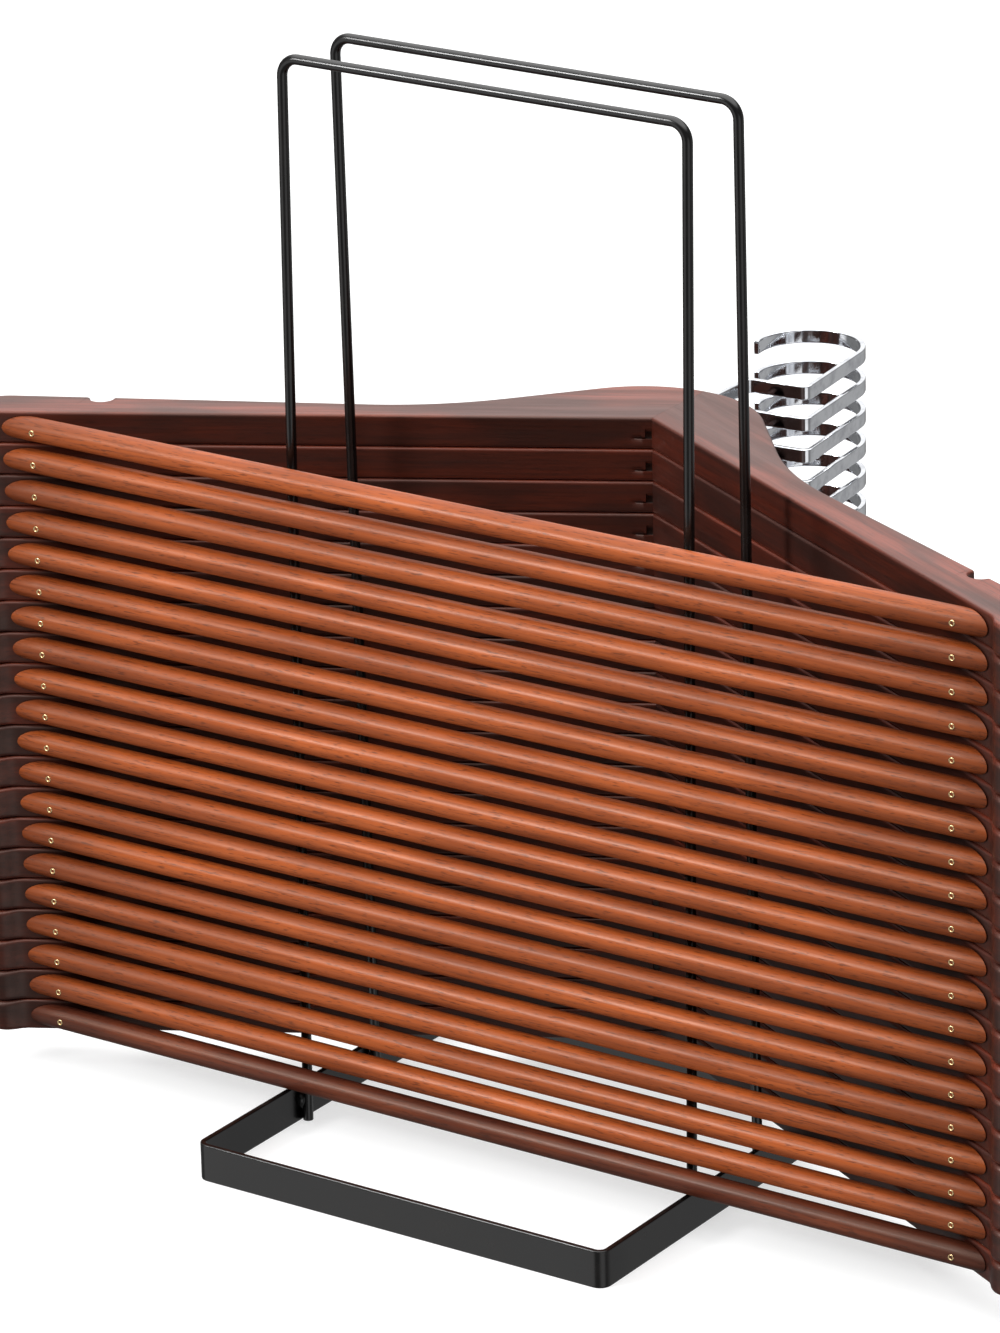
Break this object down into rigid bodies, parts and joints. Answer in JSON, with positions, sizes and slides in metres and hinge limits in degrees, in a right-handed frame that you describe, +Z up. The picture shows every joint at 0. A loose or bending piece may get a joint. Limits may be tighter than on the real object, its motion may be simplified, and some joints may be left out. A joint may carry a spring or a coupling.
{
  "type": "hanger stacking rack",
  "caption": "Two tall black wire loops on a rectangular flat-bar base, loaded with a neat stack of flat wooden trouser hangers with flat chrome hooks.",
  "frame": {"origin": "on the floor, at the middle of the outline seen from above", "axes": "+Z up; the trouser bars run along X at the front (-Y) and the hooks point to the back (+Y)"},
  "size_m": [0.445, 0.2886, 0.3976],
  "materials": {
    "satin_black_paint": "satin",
    "dark_stained_wood": "satin lacquer",
    "red_brown_wood": "satin lacquer",
    "polished_chrome": "polished",
    "brass_plate": "bright"
  },
  "bodies": {
    "rack": {"base_ring": "satin_black_paint", "front_loop": "satin_black_paint", "rear_loop": "satin_black_paint"},
    "hanger_01": {"hanger_01_frame": "dark_stained_wood"},
    "hook_01": {"hanger_01_hook": "polished_chrome"},
    "hanger_02": {"hanger_02_frame": "dark_stained_wood"},
    "hook_02": {"hanger_02_hook": "polished_chrome"},
    "hanger_03": {"hanger_03_frame": "dark_stained_wood"},
    "hook_03": {"hanger_03_hook": "polished_chrome"},
    "hanger_04": {"hanger_04_frame": "dark_stained_wood"},
    "hook_04": {"hanger_04_hook": "polished_chrome"},
    "hanger_05": {"hanger_05_frame": "dark_stained_wood"},
    "hook_05": {"hanger_05_hook": "polished_chrome"},
    "hanger_06": {"hanger_06_frame": "dark_stained_wood"},
    "hook_06": {"hanger_06_hook": "polished_chrome"},
    "hanger_07": {"hanger_07_arms": "dark_stained_wood", "hanger_07_bar": "red_brown_wood"},
    "hook_07": {"hanger_07_hook": "polished_chrome"},
    "hanger_08": {"hanger_08_arms": "dark_stained_wood", "hanger_08_bar": "red_brown_wood"},
    "hook_08": {"hanger_08_hook": "polished_chrome"},
    "hanger_09": {"hanger_09_arms": "dark_stained_wood", "hanger_09_bar": "red_brown_wood"},
    "hook_09": {"hanger_09_hook": "polished_chrome"},
    "hanger_10": {"hanger_10_arms": "dark_stained_wood", "hanger_10_bar": "red_brown_wood"},
    "hook_10": {"hanger_10_hook": "polished_chrome"},
    "hanger_11": {"hanger_11_arms": "dark_stained_wood", "hanger_11_bar": "red_brown_wood"},
    "hook_11": {"hanger_11_hook": "polished_chrome"},
    "hanger_12": {"hanger_12_arms": "dark_stained_wood", "hanger_12_bar": "red_brown_wood"},
    "hook_12": {"hanger_12_hook": "polished_chrome"},
    "hanger_13": {"hanger_13_arms": "dark_stained_wood", "hanger_13_bar": "red_brown_wood"},
    "hook_13": {"hanger_13_hook": "polished_chrome"},
    "hanger_14": {"hanger_14_arms": "dark_stained_wood", "hanger_14_bar": "red_brown_wood"},
    "hook_14": {"hanger_14_hook": "polished_chrome"},
    "hanger_15": {"hanger_15_arms": "dark_stained_wood", "hanger_15_bar": "red_brown_wood"},
    "hook_15": {"hanger_15_hook": "polished_chrome"},
    "hanger_16": {"hanger_16_arms": "dark_stained_wood", "hanger_16_bar": "red_brown_wood"},
    "hook_16": {"hanger_16_hook": "polished_chrome"},
    "hanger_17": {"hanger_17_arms": "dark_stained_wood", "hanger_17_bar": "red_brown_wood"},
    "hook_17": {"hanger_17_hook": "polished_chrome"},
    "hanger_18": {"hanger_18_arms": "dark_stained_wood", "hanger_18_bar": "red_brown_wood"},
    "hook_18": {"hanger_18_hook": "polished_chrome"},
    "hanger_19": {"hanger_19_arms": "dark_stained_wood", "hanger_19_bar": "red_brown_wood"},
    "hook_19": {"hanger_19_hook": "polished_chrome"},
    "hanger_20": {"hanger_20_left_arm": "dark_stained_wood", "hanger_20_right_arm": "dark_stained_wood", "hanger_20_bar": "red_brown_wood", "hanger_20_left_screw": "brass_plate", "hanger_20_right_screw": "brass_plate"},
    "hook_20": {"hanger_20_hook": "polished_chrome"}
  },
  "joints": [
    {"name": "hanger_01_lift", "type": "slide", "parent": "rack", "child": "hanger_01", "axis": [0, 0, 1], "range_m": [0, 0.388]},
    {"name": "hook_01_swivel", "type": "hinge", "parent": "hanger_01", "child": "hook_01", "pos_m": [0, 0.05195, 0.02015], "axis": [0, 1, 0], "range_deg": [-7.5, 7.5]},
    {"name": "hanger_02_lift", "type": "slide", "parent": "hanger_01", "child": "hanger_02", "axis": [0, 0, 1], "range_m": [0, 0.376]},
    {"name": "hook_02_swivel", "type": "hinge", "parent": "hanger_02", "child": "hook_02", "pos_m": [0, 0.05195, 0.03215], "axis": [0, 1, 0], "range_deg": [-7.5, 7.5]},
    {"name": "hanger_03_lift", "type": "slide", "parent": "hanger_02", "child": "hanger_03", "axis": [0, 0, 1], "range_m": [0, 0.364]},
    {"name": "hook_03_swivel", "type": "hinge", "parent": "hanger_03", "child": "hook_03", "pos_m": [0, 0.05195, 0.04415], "axis": [0, 1, 0], "range_deg": [-7.5, 7.5]},
    {"name": "hanger_04_lift", "type": "slide", "parent": "hanger_03", "child": "hanger_04", "axis": [0, 0, 1], "range_m": [0, 0.352]},
    {"name": "hook_04_swivel", "type": "hinge", "parent": "hanger_04", "child": "hook_04", "pos_m": [0, 0.05195, 0.05615], "axis": [0, 1, 0], "range_deg": [-7.5, 7.5]},
    {"name": "hanger_05_lift", "type": "slide", "parent": "hanger_04", "child": "hanger_05", "axis": [0, 0, 1], "range_m": [0, 0.34]},
    {"name": "hook_05_swivel", "type": "hinge", "parent": "hanger_05", "child": "hook_05", "pos_m": [0, 0.05195, 0.06815], "axis": [0, 1, 0], "range_deg": [-7.5, 7.5]},
    {"name": "hanger_06_lift", "type": "slide", "parent": "hanger_05", "child": "hanger_06", "axis": [0, 0, 1], "range_m": [0, 0.328]},
    {"name": "hook_06_swivel", "type": "hinge", "parent": "hanger_06", "child": "hook_06", "pos_m": [0, 0.05195, 0.08015], "axis": [0, 1, 0], "range_deg": [-7.5, 7.5]},
    {"name": "hanger_07_lift", "type": "slide", "parent": "hanger_06", "child": "hanger_07", "axis": [0, 0, 1], "range_m": [0, 0.316]},
    {"name": "hook_07_swivel", "type": "hinge", "parent": "hanger_07", "child": "hook_07", "pos_m": [0, 0.05195, 0.09215], "axis": [0, 1, 0], "range_deg": [-7.5, 7.5]},
    {"name": "hanger_08_lift", "type": "slide", "parent": "hanger_07", "child": "hanger_08", "axis": [0, 0, 1], "range_m": [0, 0.304]},
    {"name": "hook_08_swivel", "type": "hinge", "parent": "hanger_08", "child": "hook_08", "pos_m": [0, 0.05195, 0.10415], "axis": [0, 1, 0], "range_deg": [-7.5, 7.5]},
    {"name": "hanger_09_lift", "type": "slide", "parent": "hanger_08", "child": "hanger_09", "axis": [0, 0, 1], "range_m": [0, 0.292]},
    {"name": "hook_09_swivel", "type": "hinge", "parent": "hanger_09", "child": "hook_09", "pos_m": [0, 0.05195, 0.11615], "axis": [0, 1, 0], "range_deg": [-7.5, 7.5]},
    {"name": "hanger_10_lift", "type": "slide", "parent": "hanger_09", "child": "hanger_10", "axis": [0, 0, 1], "range_m": [0, 0.28]},
    {"name": "hook_10_swivel", "type": "hinge", "parent": "hanger_10", "child": "hook_10", "pos_m": [0, 0.05195, 0.12815], "axis": [0, 1, 0], "range_deg": [-7.5, 7.5]},
    {"name": "hanger_11_lift", "type": "slide", "parent": "hanger_10", "child": "hanger_11", "axis": [0, 0, 1], "range_m": [0, 0.268]},
    {"name": "hook_11_swivel", "type": "hinge", "parent": "hanger_11", "child": "hook_11", "pos_m": [0, 0.05195, 0.14015], "axis": [0, 1, 0], "range_deg": [-7.5, 7.5]},
    {"name": "hanger_12_lift", "type": "slide", "parent": "hanger_11", "child": "hanger_12", "axis": [0, 0, 1], "range_m": [0, 0.256]},
    {"name": "hook_12_swivel", "type": "hinge", "parent": "hanger_12", "child": "hook_12", "pos_m": [0, 0.05195, 0.15215], "axis": [0, 1, 0], "range_deg": [-7.5, 7.5]},
    {"name": "hanger_13_lift", "type": "slide", "parent": "hanger_12", "child": "hanger_13", "axis": [0, 0, 1], "range_m": [0, 0.244]},
    {"name": "hook_13_swivel", "type": "hinge", "parent": "hanger_13", "child": "hook_13", "pos_m": [0, 0.05195, 0.16415], "axis": [0, 1, 0], "range_deg": [-7.5, 7.5]},
    {"name": "hanger_14_lift", "type": "slide", "parent": "hanger_13", "child": "hanger_14", "axis": [0, 0, 1], "range_m": [0, 0.232]},
    {"name": "hook_14_swivel", "type": "hinge", "parent": "hanger_14", "child": "hook_14", "pos_m": [0, 0.05195, 0.17615], "axis": [0, 1, 0], "range_deg": [-7.5, 7.5]},
    {"name": "hanger_15_lift", "type": "slide", "parent": "hanger_14", "child": "hanger_15", "axis": [0, 0, 1], "range_m": [0, 0.22]},
    {"name": "hook_15_swivel", "type": "hinge", "parent": "hanger_15", "child": "hook_15", "pos_m": [0, 0.05195, 0.18815], "axis": [0, 1, 0], "range_deg": [-7.5, 7.5]},
    {"name": "hanger_16_lift", "type": "slide", "parent": "hanger_15", "child": "hanger_16", "axis": [0, 0, 1], "range_m": [0, 0.208]},
    {"name": "hook_16_swivel", "type": "hinge", "parent": "hanger_16", "child": "hook_16", "pos_m": [0, 0.05195, 0.20015], "axis": [0, 1, 0], "range_deg": [-7.5, 7.5]},
    {"name": "hanger_17_lift", "type": "slide", "parent": "hanger_16", "child": "hanger_17", "axis": [0, 0, 1], "range_m": [0, 0.196]},
    {"name": "hook_17_swivel", "type": "hinge", "parent": "hanger_17", "child": "hook_17", "pos_m": [0, 0.05195, 0.21215], "axis": [0, 1, 0], "range_deg": [-7.5, 7.5]},
    {"name": "hanger_18_lift", "type": "slide", "parent": "hanger_17", "child": "hanger_18", "axis": [0, 0, 1], "range_m": [0, 0.184]},
    {"name": "hook_18_swivel", "type": "hinge", "parent": "hanger_18", "child": "hook_18", "pos_m": [0, 0.05195, 0.22415], "axis": [0, 1, 0], "range_deg": [-7.5, 7.5]},
    {"name": "hanger_19_lift", "type": "slide", "parent": "hanger_18", "child": "hanger_19", "axis": [0, 0, 1], "range_m": [0, 0.172]},
    {"name": "hook_19_swivel", "type": "hinge", "parent": "hanger_19", "child": "hook_19", "pos_m": [0, 0.05195, 0.23615], "axis": [0, 1, 0], "range_deg": [-7.5, 7.5]},
    {"name": "hanger_20_lift", "type": "slide", "parent": "hanger_19", "child": "hanger_20", "axis": [0, 0, 1], "range_m": [0, 0.16]},
    {"name": "hook_20_swivel", "type": "hinge", "parent": "hanger_20", "child": "hook_20", "pos_m": [0, 0.05195, 0.24815], "axis": [0, 1, 0], "range_deg": [-7.5, 7.5]}
  ]
}
